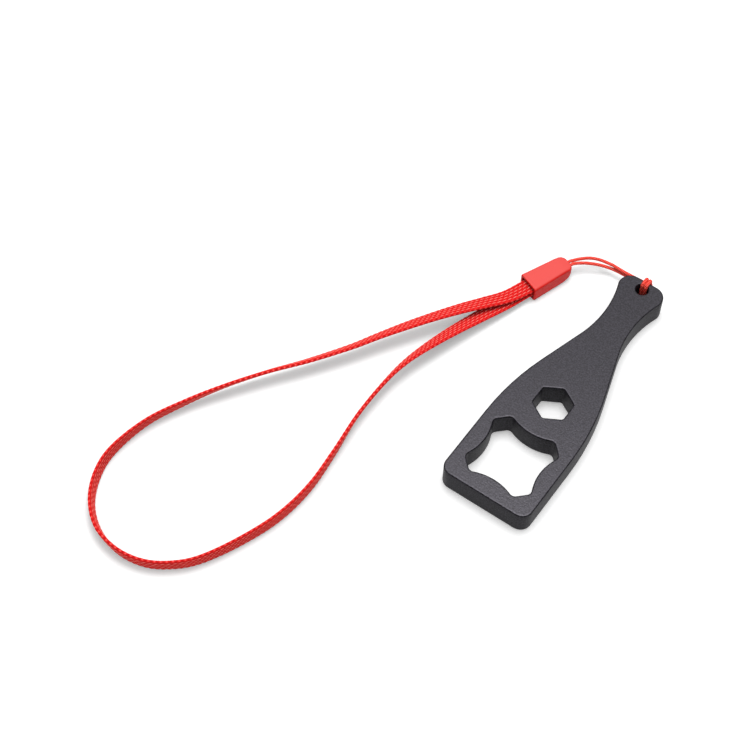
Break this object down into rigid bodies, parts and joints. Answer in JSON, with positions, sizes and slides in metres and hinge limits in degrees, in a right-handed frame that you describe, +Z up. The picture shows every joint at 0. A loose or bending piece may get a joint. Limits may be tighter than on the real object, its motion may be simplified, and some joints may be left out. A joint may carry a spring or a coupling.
{
  "type": "keychain opener wrench",
  "caption": "Bottle-shaped aluminium opener plate with a lobed knob opening, a hexagonal nut hole and a lanyard eye that carries a red braided wrist strap on a thin hitched cord.",
  "frame": {"origin": "middle of the plate's underside, halfway between its base and its lip", "axes": "+Y along the plate from its base to its eye, +Z up out of its top face, +X to the right seen from above with the eye away"},
  "size_m": [0.0852, 0.1279, 0.0069],
  "materials": {
    "anodised_plate": "black anodised over a fine blasted surface, satin",
    "loop_cord": "tightly laid thin nylon cord, slight sheen",
    "ferrule_plastic": "moulded soft-touch red plastic, satin gloss",
    "sewing_thread": "polyester sewing thread",
    "braided_strap": "flat knitted polyester braid, soft sheen"
  },
  "bodies": {
    "plate": {"opener_plate": "anodised_plate", "eye_hitch": "loop_cord"},
    "loop_cord": {"outer_strand": "loop_cord", "inner_strand": "loop_cord"},
    "lanyard": {"cord_knot": "loop_cord", "ferrule": "ferrule_plastic", "bar_tack": "sewing_thread", "wrist_strap": "braided_strap"}
  },
  "joints": [
    {"name": "lanyard_swing", "type": "hinge", "parent": "plate", "child": "loop_cord", "pos_m": [0, 0.0362, 0.003], "axis": [0, 0, 1], "range_deg": [-180, 0]},
    {"name": "ferrule_swing", "type": "hinge", "parent": "loop_cord", "child": "lanyard", "pos_m": [-0.01827, 0.03122, 0.0031], "axis": [0, 0, 1], "range_deg": [-60, 10]}
  ]
}
